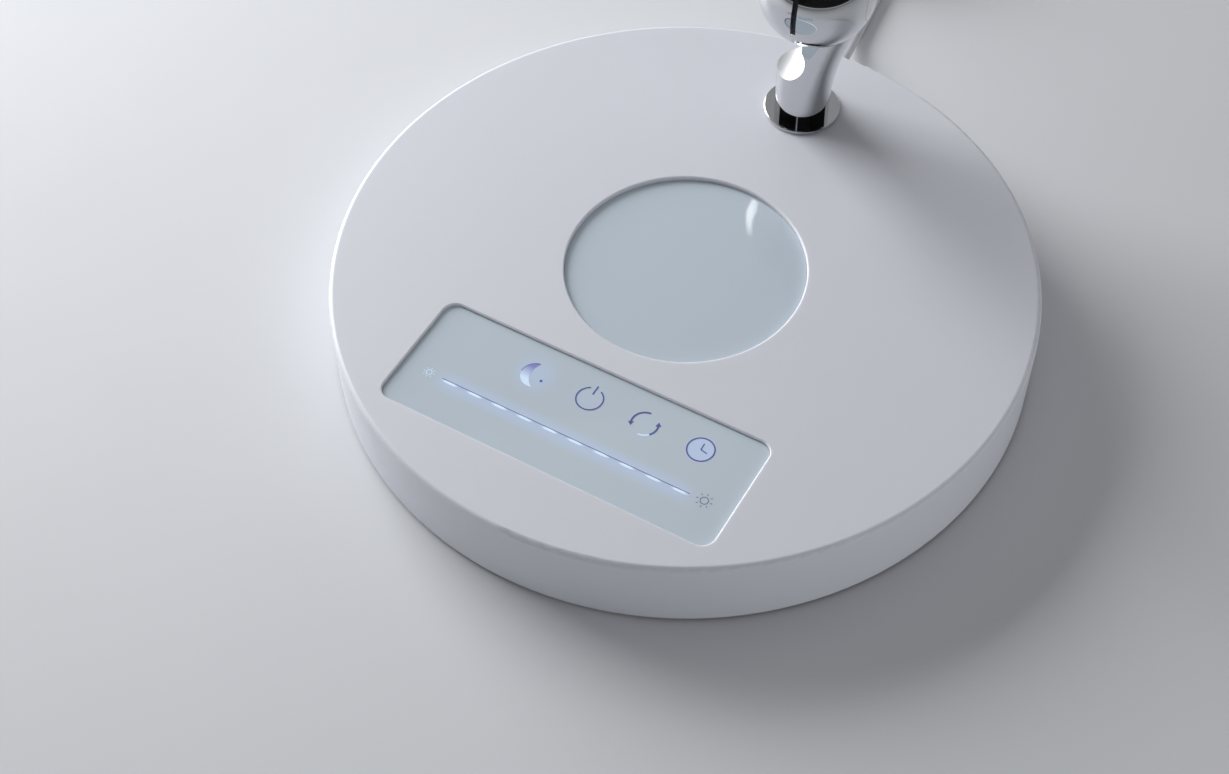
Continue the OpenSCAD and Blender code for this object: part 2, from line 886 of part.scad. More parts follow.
module at_bar_screws() {
    span = profile_len - 4 * led_board_end;
    for (i = [0:bar_screws - 1])
        translate([0, cavity_top - board_t, profile_z + 2 * led_board_end + span * i / (bar_screws - 1)])
            rotate([-90, 0, 0]) children();
}

module head_profile() {
    low = -profile_below;
    color("white") at_head() difference() {
        translate([0, 0, profile_z]) linear_extrude(profile_len) difference() {
            profile_outline();
            cavity_outline(0);
            translate([-cavity_w / 2, low - past]) square([cavity_w, cavity_bottom - low + 2 * past]);
            translate([-groove_full_w / 2, low + lip_t])
                square([groove_full_w, diffuser_t + 2 * fit]);
        }
        at_bar_screws() cylinder(r = bar_screw_r + pin_fit, h = board_t + bar_screw_in + fit);
    }
}

module head_diffuser() {
    color("ghostwhite")
        at_head() translate([-groove_full_w / 2 + fit, -profile_below + lip_t, profile_z + fit])
            cube([groove_full_w - 2 * fit, diffuser_t, profile_len - 2 * fit]);
}

module head_board() {
    color("whitesmoke") at_head() difference() {
        translate([-led_board_w / 2, cavity_top - board_t, profile_z + led_board_end])
            cube([led_board_w, board_t, profile_len - 2 * led_board_end]);
        at_bar_screws() translate([0, 0, -past]) cylinder(r = bar_screw_r + pin_fit, h = board_t + 2 * past);
    }
}

module head_leds() {
    span = profile_len - 2 * led_board_end - 2 * bar_led_l;
    color("khaki")
        at_head()
            for (i = [0:led_pairs - 1], x = [-1, 1])
                translate([
                    x * led_row_x - bar_led_w / 2,
                    cavity_top - board_t - bar_led_h,
                    profile_z + led_board_end + bar_led_l / 2 + span * i / (led_pairs - 1)
                ])
                    cube([bar_led_w, bar_led_h, bar_led_l]);
}

module head_screws() {
    color("silver") at_head() at_bar_screws() {
        translate([0, 0, -bar_screw_head_t]) cylinder(r = bar_screw_head_r, h = bar_screw_head_t);
        translate([0, 0, -bar_screw_head_t / 2])
            cylinder(r = bar_screw_r, h = bar_screw_head_t / 2 + board_t + bar_screw_in);
    }
}

// Cord: rings of points square to the path, joined by triangles

function unit(v) = v / norm(v);
function heading(path, i) = unit(path[min(i + 1, len(path) - 1)] - path[max(i - 1, 0)]);
function ring(middle, ahead, r, sides) =
    let (side = unit(cross(ahead, [0, 0, 1])), rise = cross(side, ahead))
    [for (k = [0:sides - 1]) middle + r * (cos(360 * k / sides) * side + sin(360 * k / sides) * rise)];

module tube_along(path, headings, r, sides) {
    rings = len(path);
    points = [for (i = [0:rings - 1]) each ring(path[i], headings[i], r, sides)];
    walls = [
        for (i = [0:rings - 2], k = [0:sides - 1])
            let (a = i * sides + k, b = i * sides + (k + 1) % sides)
                each [[a, a + sides, b], [b, a + sides, b + sides]]
    ];
    first = [for (k = [1:sides - 2]) [0, k, k + 1]];
    last_ring = (rings - 1) * sides;
    last = [for (k = [1:sides - 2]) [last_ring, last_ring + k + 1, last_ring + k]];
    polyhedron(points, concat(walls, first, last));
}

// The ends of the lead are square to the boot and to the coil
cord_headings = [
    for (i = [0:len(cord_route) - 1])
        i == 0 || i == len(cord_route) - 1 ? [0, 1, 0] : heading(cord_route, i)
];

module cord_lead() {
    color("white") tube_along(cord_route, cord_headings, cord_r, cord_sides);
}

// The coil spirals in and out by turns, and climbs a layer in the half turn where it reverses
function swing(turn) = abs((turn / layer_turns) % 2 - 1);
function smooth(x) = x <= 0 ? 0 : x >= 1 ? 1 : x * x * (3 - 2 * x);
function lift(turn) =
    let (steps = [for (k = [1:layers - 1]) smooth((turn - k * layer_turns) / climb + 0.5)])
    turn_pitch * (steps * [for (s = steps) 1]);
function coil_point(turn) =
    let (r = coil_in_r + (coil_out_r - coil_in_r) * swing(turn))
    [
        coil_middle.x + r * cos(360 * turn), coil_middle.y + r * sin(360 * turn),
        coil_start.z + lift(turn)
    ];

coil_rings = round(coil_turns * rings_per_turn);
coil_curve = [for (i = [0:coil_rings]) coil_point(coil_turns * i / coil_rings)];
coil_path = concat([coil_start], coil_curve, [tail_start]);
coil_headings = [
    for (i = [0:len(coil_path) - 1])
        i <= 1 ? [0, 1, 0] : i >= len(coil_path) - 2 ? [-1, 0, 0] : heading(coil_path, i)
];

// The least gap between turns, from points that lie at least half a turn apart
coil_gap = min([
    for (i = [0:coil_rings], j = [i + rings_per_turn / 2:coil_rings])
        if (j <= coil_rings) norm(coil_curve[i] - coil_curve[j])
]) - cord_d;
route_length = function(path) [for (i = [1:len(path) - 1]) norm(path[i] - path[i - 1])];
function total(list) = list * [for (x = list) 1];
cord_length = total(route_length(cord_route)) + total(route_length(coil_path)) + tail_len;
echo(least_gap_in_coil = coil_gap, cord_length = cord_length);

module cord_coil() {
    color("white") tube_along(coil_path, coil_headings, cord_r, coil_sides);
}

module cord_tail() {
    path = [for (i = [0:2]) tail_start - [tail_len * i / 2, 0, 0]];
    color("white") tube_along(path, [for (p = path) [-1, 0, 0]], cord_r, cord_sides);
}

module cord_tie() {
    inner = sqrt(pow(coil_in_r - cord_r, 2) - pow(tie_w / 2, 2)) - tie_clear;
    outer = coil_out_r + cord_r + tie_clear;
    low = coil_start.z - cord_r - tie_clear;
    high = coil_top_z + cord_r + tie_clear;
    color("black")
        translate([coil_middle.x, coil_middle.y, 0]) rotate([0, 0, tie_turn]) difference() {
            translate([inner - tie_t, -tie_w / 2, low - tie_t])
                cube([outer - inner + 2 * tie_t, tie_w, high - low + 2 * tie_t]);
            translate([inner, -tie_w, low]) cube([outer - inner, 2 * tie_w, high - low]);
        }
}

module at_adaptor() {
    translate(tail_start - [tail_len + adaptor_boot, 0, 0]) rotate([0, -90, 0]) children();
}

module adaptor_body() {
    color("white") at_adaptor() {
        translate([0, 0, -adaptor_boot])
            cylinder(r1 = boot_tip_r, r2 = adaptor_boot_r, h = adaptor_boot + past);
        difference() {
            linear_extrude(adaptor_len) round_rect(adaptor_h, adaptor_w, adaptor_r);
            for (y = [-1, 1])
                translate([0, y * pin_pitch / 2, adaptor_len - pin_seat])
                    cylinder(r = pin_r + pin_fit, h = pin_seat + past);
        }
    }
}

module adaptor_pins() {
    tip = 1;
    color("gold") at_adaptor()
        for (y = [-1, 1]) translate([0, y * pin_pitch / 2, adaptor_len - pin_seat]) {
            cylinder(r = pin_r, h = pin_seat + pin_len - tip);
            translate([0, 0, pin_seat + pin_len - tip]) cylinder(r1 = pin_r, r2 = pin_r / 2, h = tip);
        }
}

base_cover();
base_plate();
foot_pad();
ballast();
base_screws();
control_glass();
slider_guide();
touch_board();
touch_leds();
pad_glass();
charging_coil();
coil_ferrite();
main_board();
main_board_parts();
cord_gland();
stem_flange();
swivel_bush();
post();
swivel_washer();
swivel_nut();
base_knuckle_bolt();
base_knuckle_washer();
base_knuckle_nut();
base_knuckle_right_cap();
base_knuckle_left_cap();
lower_arm_foot();
lower_arm_tube();
lower_arm_top();
lower_arm_wire();
elbow_bolt();
elbow_washer();
elbow_nut();
elbow_right_cap();
elbow_left_cap();
upper_arm_foot();
upper_arm_tube();
upper_arm_end();
upper_arm_wire();
head_knuckle_bolt();
head_knuckle_washer();
head_knuckle_nut();
head_knuckle_right_cap();
head_knuckle_left_cap();
head_neck();
head_clip();
head_rear_cap();
head_profile();
head_front_cap();
head_diffuser();
head_board();
head_leds();
head_screws();
cord_lead();
cord_coil();
cord_tail();
cord_tie();
adaptor_body();
adaptor_pins();
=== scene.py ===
"""Looks of the LED desk lamp: finishes for every part, the lit touch panel, the supply cord and the stage."""

import math

import bmesh
import bpy
from bpy.props import FloatProperty, FloatVectorProperty, IntProperty, PointerProperty
from mathutils import Matrix, Vector


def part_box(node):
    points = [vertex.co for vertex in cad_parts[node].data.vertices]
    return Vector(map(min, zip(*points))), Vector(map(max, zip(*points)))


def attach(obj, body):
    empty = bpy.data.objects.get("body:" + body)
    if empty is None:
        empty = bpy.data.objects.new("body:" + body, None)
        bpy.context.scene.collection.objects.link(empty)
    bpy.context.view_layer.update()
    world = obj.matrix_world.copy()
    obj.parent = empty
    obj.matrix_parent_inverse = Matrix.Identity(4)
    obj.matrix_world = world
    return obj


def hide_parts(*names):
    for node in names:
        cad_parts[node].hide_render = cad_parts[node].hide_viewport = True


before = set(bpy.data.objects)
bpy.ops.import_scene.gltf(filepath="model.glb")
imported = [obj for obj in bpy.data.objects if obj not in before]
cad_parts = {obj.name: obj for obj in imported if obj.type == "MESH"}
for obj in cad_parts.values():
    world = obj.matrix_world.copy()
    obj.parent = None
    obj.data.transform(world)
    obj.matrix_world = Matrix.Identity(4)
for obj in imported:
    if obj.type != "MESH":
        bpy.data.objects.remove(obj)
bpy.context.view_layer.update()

bl_info = {
    "name": "LED desk lamp",
    "version": (1, 0, 0),
    "blender": (4, 5, 0),
    "location": "View3D > Sidebar > Lamp",
    "description": "Finishes, lit symbols, cord and stage for a touch controlled desk lamp",
    "category": "Object",
}

MILLIMETRE = 0.001
FULL_TURN = 360.0
UP = Vector((0.0, 0.0, 1.0))
BLACK = (0.0, 0.0, 0.0)
SYMBOLS = ("moon", "power", "cycle", "clock")

# Stretch of the noise in machined metal, for lines round an upright axis and along a sheet
TURNED_LINES = (1.0, 1.0, 0.02)
ROLLED_LINES = (1.0, 0.02, 1.0)


def length(name, description, default):
    """A size in metres that the user may change."""
    return FloatProperty(name=name, description=description, default=default, unit="LENGTH", precision=5)


def colour(name, description, default):
    """A colour that the user may change."""
    return FloatVectorProperty(
        name=name, description=description, default=default, subtype="COLOR", size=3, min=0.0, max=1.0
    )


def watts(name, description, default):
    """A light's power that the user may change."""
    return FloatProperty(name=name, description=description, default=default, subtype="POWER")


class LampPanel(bpy.types.PropertyGroup):
    """Sizes of what is lit on the touch panel."""

    symbol_diameter: length("Symbol", "Diameter of a round touch symbol", 0.0075)
    stroke: length("Stroke", "Width of the symbols' lines", 0.00042)
    symbol_pitch: length("Symbol spacing", "Distance between touch symbols", 0.017)
    first_symbol_x: length("First symbol", "Place of the moon along the panel", -0.017)
    symbol_y: length("Symbol row", "Place of the symbols across the base", -0.052)
    slider_length: length("Slider", "Length of the slider's line", 0.0765)
    slider_y: length("Slider row", "Place of the lit streaks across the base", -0.06625)
    slider_width: length("Streak width", "Width of a lit streak", 0.00075)
    slider_lift: length("Line", "Distance from the streaks to the line behind them", 0.0005)
    slider_spots: IntProperty(name="Streaks", description="Lit streaks along the slider", default=10, min=2)
    spot_pitch: length("Streak spacing", "Distance between lit streaks", 0.00789)
    sun_gap: length("Sun gap", "Distance from the slider's ends to the suns", 0.0043)
    film: length("Film", "Thickness of the printed symbols", 0.00004)


class LampCord(bpy.types.PropertyGroup):
    """Sizes of the supply cord."""

    diameter: length("Diameter", "Diameter of the cord", 0.0034)
    coil_radius: length("Coil", "Middle radius of the coil", 0.0195)
    coil_turns: FloatProperty(name="Turns", description="Turns in the coil", default=11.25)
    turn_gap: length("Turn gap", "Air between turns of the coil", 0.0005)
    tail: length("Tail", "Straight cord between the coil and the adaptor", 0.014)


class LampColours(bpy.types.PropertyGroup):
    """Colours of the lamp's finishes."""

    cover: colour("Cover", "Moulded white of the base", (0.69, 0.705, 0.765))
    glass: colour("Glass", "Tint of the two glasses", (0.545, 0.625, 0.70))
    glow: colour("Glow", "Light behind the symbols and the slider", (0.15, 0.32, 1.0))
    ink: colour("Ink", "Lines of the touch symbols", (0.11, 0.12, 0.33))
    faint_ink: colour("Faint ink", "Line of the slider and the larger sun", (0.22, 0.24, 0.36))
    chrome: colour("Chrome", "Polished plating", (0.71, 0.72, 0.735))
    steel: colour("Steel", "Plain steel", (0.42, 0.42, 0.43))
    rubber: colour("Rubber", "Foot pad and cord tie", (0.02, 0.02, 0.022))
    cord: colour("Cord", "Jacket of the cord", (0.56, 0.57, 0.60))
    adaptor: colour("Adaptor", "Moulding of the wall adaptor", (0.70, 0.71, 0.73))
    head: colour("Head", "Painted profile of the head", (0.72, 0.73, 0.76))


class LampStage(bpy.types.PropertyGroup):
    """Floor, light and camera."""

    floor: colour("Floor", "Colour of the floor", (0.67, 0.685, 0.715))
    key: watts("Key", "Power of the key light", 5.8)
    fill: watts("Fill", "Power of the overhead light", 3.8)
    side: watts("Side", "Power of the low side light", 0.38)
    front: watts("Front", "Power of the low front light", 0.3)
    lens: FloatProperty(name="Lens", description="Focal length in millimetres", default=58.34)


# Shader building blocks


def new_finish(name):
    """An empty material with its shader; returns the material, its tree and the shader."""
    material = bpy.data.materials.new(name)
    material.use_nodes = True
    tree = material.node_tree
    return material, tree, tree.nodes["Principled BSDF"]


def object_place(tree, stretch=(1.0, 1.0, 1.0), centre=(0.0, 0.0, 0.0), turn=0.0):
    """The place on the piece, moved to a centre, turned about the upright and stretched."""
    place = tree.nodes.new("ShaderNodeTexCoord")
    mapping = tree.nodes.new("ShaderNodeMapping")
    mapping.vector_type = "TEXTURE"
    mapping.inputs["Location"].default_value = centre
    mapping.inputs["Rotation"].default_value = (0.0, 0.0, turn)
    mapping.inputs["Scale"].default_value = stretch
    tree.links.new(place.outputs["Object"], mapping.inputs["Vector"])
    return mapping.outputs["Vector"]


def noise(tree, vector, scale, detail=4.0):
    """Noise with features of about 1 / scale metres."""
    node = tree.nodes.new("ShaderNodeTexNoise")
    node.inputs["Scale"].default_value = scale
    node.inputs["Detail"].default_value = detail
    tree.links.new(vector, node.inputs["Vector"])
    return node.outputs["Fac"]


def ramp(tree, value, low, high, start=0.35, end=0.65):
    """A colour between low and high."""
    node = tree.nodes.new("ShaderNodeValToRGB")
    first, last = node.color_ramp.elements
    first.position = start
    first.color = (*low, 1.0)
    last.position = end
    last.color = (*high, 1.0)
    tree.links.new(value, node.inputs["Fac"])
    return node.outputs["Color"]


def spread(tree, value, low, high, start=0.35, end=0.65, shape="LINEAR"):
    """A number between low and high."""
    node = tree.nodes.new("ShaderNodeMapRange")
    node.interpolation_type = shape
    node.inputs["From Min"].default_value = start
    node.inputs["From Max"].default_value = end
    node.inputs["To Min"].default_value = low
    node.inputs["To Max"].default_value = high
    tree.links.new(value, node.inputs["Value"])
    return node.outputs["Result"]


def calculate(tree, operation, first, second):
    """One step of arithmetic on sockets or numbers."""
    node = tree.nodes.new("ShaderNodeMath")
    node.operation = operation
    for socket, value in zip(node.inputs, (first, second)):
        if isinstance(value, (int, float)):
            socket.default_value = value
        else:
            tree.links.new(value, socket)
    return node.outputs["Value"]


def bump(tree, shader, height, strength, distance):
    """Small relief on the surface."""
    node = tree.nodes.new("ShaderNodeBump")
    node.inputs["Strength"].default_value = strength
    node.inputs["Distance"].default_value = distance
    tree.links.new(height, node.inputs["Height"])
    tree.links.new(node.outputs["Normal"], shader.inputs["Normal"])


def darker(tint, share):
    """The colour with a share of its light."""
    return tuple(channel * share for channel in tint)


def moulded(name, tint, rough, grain=900.0, relief=0.02, coat=0.0):
    """Moulded plastic or paint: faint cloudy tone, slightly uneven gloss and a fine skin."""
    material, tree, shader = new_finish(name)
    place = object_place(tree)
    cloud = noise(tree, place, scale=14.0)
    tone = ramp(tree, cloud, darker(tint, share=0.985), tint, start=0.2, end=0.8)
    tree.links.new(tone, shader.inputs["Base Color"])
    blotch = noise(tree, place, scale=25.0)
    gloss = spread(tree, blotch, low=rough * 0.95, high=rough * 1.05, start=0.2, end=0.8)
    tree.links.new(gloss, shader.inputs["Roughness"])
    skin = noise(tree, place, scale=grain, detail=2.0)
    bump(tree, shader, skin, strength=relief, distance=0.0001)
    shader.inputs["Coat Weight"].default_value = coat
    shader.inputs["Coat Roughness"].default_value = 0.12
    return material


def plated(name, tint, rough, satin=None):
    """Polished or satin metal with faint smears in its gloss, rougher where satin adds to it."""
    material, tree, shader = new_finish(name)
    smear = noise(tree, object_place(tree), scale=35.0, detail=6.0)
    tree.links.new(ramp(tree, smear, darker(tint, share=0.96), tint), shader.inputs["Base Color"])
    gloss = spread(tree, smear, low=rough * 0.6, high=rough * 1.5)
    if satin:
        gloss = calculate(tree, "ADD", gloss, satin(tree))
    tree.links.new(gloss, shader.inputs["Roughness"])
    shader.inputs["Metallic"].default_value = 1.0
    return material


def turned(name, tint, rough, stretch=TURNED_LINES):
    """Machined metal with fine tool lines."""
    material, tree, shader = new_finish(name)
    lines = noise(tree, object_place(tree, stretch), scale=90.0, detail=8.0)
    tree.links.new(ramp(tree, lines, darker(tint, share=0.8), tint), shader.inputs["Base Color"])
    tree.links.new(spread(tree, lines, low=rough * 0.8, high=rough * 1.2), shader.inputs["Roughness"])
    bump(tree, shader, lines, strength=0.05, distance=0.0001)
    shader.inputs["Metallic"].default_value = 1.0
    return material


def soft_skin(name, tint, rough, grain=1500.0):
    """Rubber or soft plastic with a matte, finely pitted skin."""
    material, tree, shader = new_finish(name)
    place = object_place(tree)
    pits = noise(tree, place, scale=grain, detail=3.0)
    cloud = noise(tree, place, scale=40.0)
    tree.links.new(ramp(tree, cloud, darker(tint, share=0.9), tint), shader.inputs["Base Color"])
    gloss = spread(tree, pits, low=rough * 0.9, high=min(1.0, rough * 1.1))
    tree.links.new(gloss, shader.inputs["Roughness"])
    bump(tree, shader, pits, strength=0.12, distance=0.0002)
    return material


# Pieces


def dress(material, *nodes):
    """Gives a finish to parts of the frame."""
    for name in nodes:
        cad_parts[name].material_slots[0].material = material


def new_piece(name, bm, material):
    """Turns a bmesh into an object with one finish."""
    mesh = bpy.data.meshes.new(name)
    bm.to_mesh(mesh)
    bm.free()
    mesh.materials.append(material)
    piece = bpy.data.objects.new(name, mesh)
    bpy.context.scene.collection.objects.link(piece)
    return piece


def place_mesh(name, bm, material, body):
    """Turns a bmesh into a piece that rides on a body."""
    bmesh.ops.recalc_face_normals(bm, faces=bm.faces[:])
    piece = new_piece(name, bm, material)
    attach(piece, body)


# Symbol drawing: every line lies flat on the glass


def around(middle, radius, angle):
    """A point on a circle, with the angle in degrees."""
    turn = math.radians(angle)
    return middle + radius * Vector((math.cos(turn), math.sin(turn), 0.0))


def arc(bm, middle, radius, stroke, start=0.0, sweep=FULL_TURN, step=8.0, least_steps=6):
    """A stretch of a ring, with its angles in degrees."""
    steps = max(least_steps, round(sweep / step))
    closed = sweep >= FULL_TURN
    rungs = []
    for count in range(steps if closed else steps + 1):
        angle = start + sweep * count / steps
        inner = bm.verts.new(around(middle, radius - stroke / 2, angle))
        outer = bm.verts.new(around(middle, radius + stroke / 2, angle))
        rungs.append((inner, outer))
    following = rungs[1:] + rungs[:1] if closed else rungs[1:]
    for (inner, outer), (next_inner, next_outer) in zip(rungs, following):
        bm.faces.new((inner, outer, next_outer, next_inner))


def bar(bm, start, end, stroke):
    """A straight stroke."""
    run = end - start
    turn = Matrix.Rotation(math.atan2(run.y, run.x), 4, "Z")
    size = Matrix.Diagonal((run.length, stroke, 1.0, 1.0))
    bmesh.ops.create_grid(
        bm, x_segments=1, y_segments=1, size=0.5, matrix=Matrix.Translation((start + end) / 2) @ turn @ size
    )


def dot(bm, middle, radius, corners=20, turn=0.0):
    """A filled disc, or a triangle with three corners."""
    bmesh.ops.create_circle(
        bm, cap_ends=True, radius=radius, segments=corners,
        matrix=Matrix.Translation(middle) @ Matrix.Rotation(math.radians(turn), 4, "Z"),
    )


def crescent(bm, middle, radius, hollow_share=1.36, tip_angle=97.0, foot_angle=286.0, steps=24):
    """A moon open to the right, between a round arc and a flatter one through the same tips."""
    hollow = hollow_share * radius
    tip = around(middle, radius, tip_angle)
    foot = around(middle, radius, foot_angle)
    chord = tip - foot
    across = Vector((chord.y, -chord.x, 0.0)).normalized()
    hollow_middle = (tip + foot) / 2 + across * math.sqrt(max(hollow ** 2 - (chord.length / 2) ** 2, 0.0))
    sides = []
    for centre, reach in ((middle, radius), (hollow_middle, hollow)):
        arm = tip - centre
        goal = foot - centre
        start = math.degrees(math.atan2(arm.y, arm.x))
        sweep = (math.degrees(math.atan2(goal.y, goal.x)) - start) % FULL_TURN
        sides.append([around(centre, reach, start + sweep * count / steps) for count in range(steps + 1)])
    outer, inner = sides
    inner_back = inner[-2:0:-1]
    bm.faces.new([bm.verts.new(point) for point in outer + inner_back])


def sun(bm, middle, radius, stroke, rays=8, ray_start=1.6, ray_end=2.1):
    """A ring with short rays, whose ends are shares of the ring's radius."""
    arc(bm, middle, radius, stroke)
    for ray in range(rays):
        angle = FULL_TURN * ray / rays
        bar(bm, around(middle, radius * ray_start, angle), around(middle, radius * ray_end, angle), stroke)


def arrowhead(bm, middle, radius, angle, size):
    """A triangle at the end of an arc, pointing on along it."""
    dot(bm, around(middle, radius, angle), size, corners=3, turn=angle)


def thicken(bm, film):
    """Gives the flat drawing the thickness of a film."""
    faces = bm.faces[:]
    rims = [edge for edge in bm.edges if edge.is_boundary]
    raised = {vert: bm.verts.new(vert.co + UP * film) for vert in bm.verts[:]}
    for face in faces:
        bm.faces.new([raised[vert] for vert in face.verts])
    for edge in rims:
        near, far = edge.verts
        bm.faces.new((near, far, raised[far], raised[near]))


def spot_wave(tree, along, panel):
    """A wave along the slider, from -1 between its lit streaks to 1 at each of them."""
    from_first = calculate(tree, "ADD", along, panel.spot_pitch * (panel.slider_spots - 1) / 2)
    turns = calculate(tree, "DIVIDE", from_first, panel.spot_pitch)
    return calculate(tree, "COSINE", calculate(tree, "MULTIPLY", turns, math.tau), 0.0)


def symbol_places(panel):
    """Middles of the moon, power, cycle and clock symbols, on top of the glass."""
    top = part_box("control_glass")[1].z
    return [
        Vector((panel.first_symbol_x + step * panel.symbol_pitch, panel.symbol_y, top))
        for step in range(len(SYMBOLS))
    ]


# Operators


class LAMP_OT_stage(bpy.types.Operator):
    """Make the floor, the studio light and the camera"""

    bl_idname = "lamp.stage"
    bl_label = "Stage"

    camera_place = (0.17316, -0.32341, 0.45048)
    camera_right = Vector((0.864045, 0.503192, -0.014949))
    camera_up = Vector((-0.392419, 0.691841, 0.606105))
    sensor_width = 36.0
    near_limit = 0.01
    floor_width = 8.0
    floor_drop = 0.0002
    # Softboxes, with sizes in metres and the angles of their grids in degrees
    key_place = (-0.91, 0.243, 0.429)
    key_size = 0.675
    key_angle = 110.0
    fill_place = (-0.2, 0.3, 1.8)
    fill_size = 1.6
    side_place = (1.3, -0.25, 0.11)
    front_place = (-1.3, -0.5, 0.11)
    low_width = 0.65
    low_height = 0.18
    low_angle = 50.0
    # Black cards, along level axes towards the camera and across its view
    towards = Vector((0.52, -0.854, 0.0))
    across = Vector((0.854, 0.52, 0.0))
    wall_middle = Vector((0.62, -1.02, 1.5))
    wall_width = 5.0
    wall_height = 2.8
    ceiling_middle = Vector((0.374, -0.542, 1.5))
    ceiling_width = 4.0
    ceiling_depth = 2.55
    card_tint = (0.004, 0.004, 0.004)
    # Strength of the world as a light, and as the camera and the polished metal see it
    world_tint = (0.80, 0.81, 0.83, 1.0)
    world_light = 0.225
    world_seen = 0.38

    def execute(self, context):
        stage = context.scene.lamp_stage
        self.make_camera(context, stage)
        self.make_floor(stage)
        self.make_lights(context, stage)
        self.make_cards()
        self.make_world(context)
        context.scene.view_settings.view_transform = "Standard"
        return {"FINISHED"}

    def make_camera(self, context, stage):
        """The camera, turned so that its picture has the given right and up."""
        data = bpy.data.cameras.new("camera")
        data.lens = stage.lens
        data.sensor_width = self.sensor_width
        data.sensor_fit = "HORIZONTAL"
        data.clip_start = self.near_limit
        camera = bpy.data.objects.new("camera", data)
        axes = Matrix((self.camera_right, self.camera_up, self.camera_right.cross(self.camera_up)))
        camera.rotation_euler = axes.transposed().to_euler()
        camera.location = self.camera_place
        context.scene.collection.objects.link(camera)
        context.scene.camera = camera

    def make_floor(self, stage):
        """A wide, level floor just under the foot pad."""
        drop = Matrix.Translation((0.0, 0.0, -self.floor_drop))
        finish = moulded("floor", tuple(stage.floor), rough=0.7, grain=600.0, relief=0.01)
        floor = self.sheet("floor", drop @ Matrix.Scale(self.floor_width, 4), finish)

    def make_lights(self, context, stage):
        """A key light, one overhead and two low ones."""
        self.softbox(context, "key_light", stage.key, self.key_size, self.key_place, self.key_angle)
        self.softbox(context, "fill_light", stage.fill, self.fill_size, self.fill_place)
        self.low_box(context, "side_light", stage.side, self.side_place)
        self.low_box(context, "front_light", stage.front, self.front_place)

    def make_cards(self):
        """A wall behind the camera and a ceiling above it."""
        wall_across = self.across * self.wall_width
        self.dark_card("dark_wall", self.wall_middle, wall_across, UP * self.wall_height)
        ceiling_across = self.across * self.ceiling_width
        self.dark_card("dark_ceiling", self.ceiling_middle, ceiling_across, self.towards * self.ceiling_depth)

    def sheet(self, name, placing, finish):
        """A flat square metre, stretched and moved to its place."""
        bm = bmesh.new()
        bmesh.ops.create_grid(bm, x_segments=1, y_segments=1, size=0.5, matrix=placing)
        return new_piece(name, bm, finish)

    def dark_card(self, name, middle, across, along):
        """A black card, which only shows as the dark bands in the polished metal."""
        axes = Matrix((across, along, across.cross(along).normalized())).transposed().to_4x4()
        finish = soft_skin(name, self.card_tint, rough=0.9)
        card = self.sheet(name, Matrix.Translation(middle) @ axes, finish)
        card.visible_camera = False
        card.visible_diffuse = False
        card.visible_shadow = False

    def softbox(self, context, name, power, size, place, angle=180.0):
        """A soft light whose grid keeps it within an angle, off the floor beside it."""
        data = bpy.data.lights.new(name, "AREA")
        data.energy = power
        data.size = size
        data.spread = math.radians(angle)
        light = bpy.data.objects.new(name, data)
        light.location = place
        light.rotation_euler = (-Vector(place)).to_track_quat("-Z", "Y").to_euler()
        context.scene.collection.objects.link(light)
        return light

    def low_box(self, context, name, power, place):
        """A wide, low softbox that lights upright faces and is kept out of the polished metal."""
        light = self.softbox(context, name, power, self.low_width, place, self.low_angle)
        light.data.shape = "RECTANGLE"
        light.data.size_y = self.low_height
        light.visible_glossy = False

    def make_world(self, context):
        """A plain grey surround, brighter to the eye than as a light."""
        world = bpy.data.worlds.new("studio")
        world.use_nodes = True
        tree = world.node_tree
        back = tree.nodes["Background"]
        back.inputs["Color"].default_value = self.world_tint
        ray = tree.nodes.new("ShaderNodeLightPath")
        mirrored = calculate(tree, "ADD", ray.outputs["Is Glossy Ray"], ray.outputs["Is Transmission Ray"])
        seen = calculate(tree, "ADD", ray.outputs["Is Camera Ray"], mirrored)
        strength = spread(tree, seen, low=self.world_light, high=self.world_seen, start=0.0, end=1.0)
        tree.links.new(strength, back.inputs["Strength"])
        context.scene.world = world


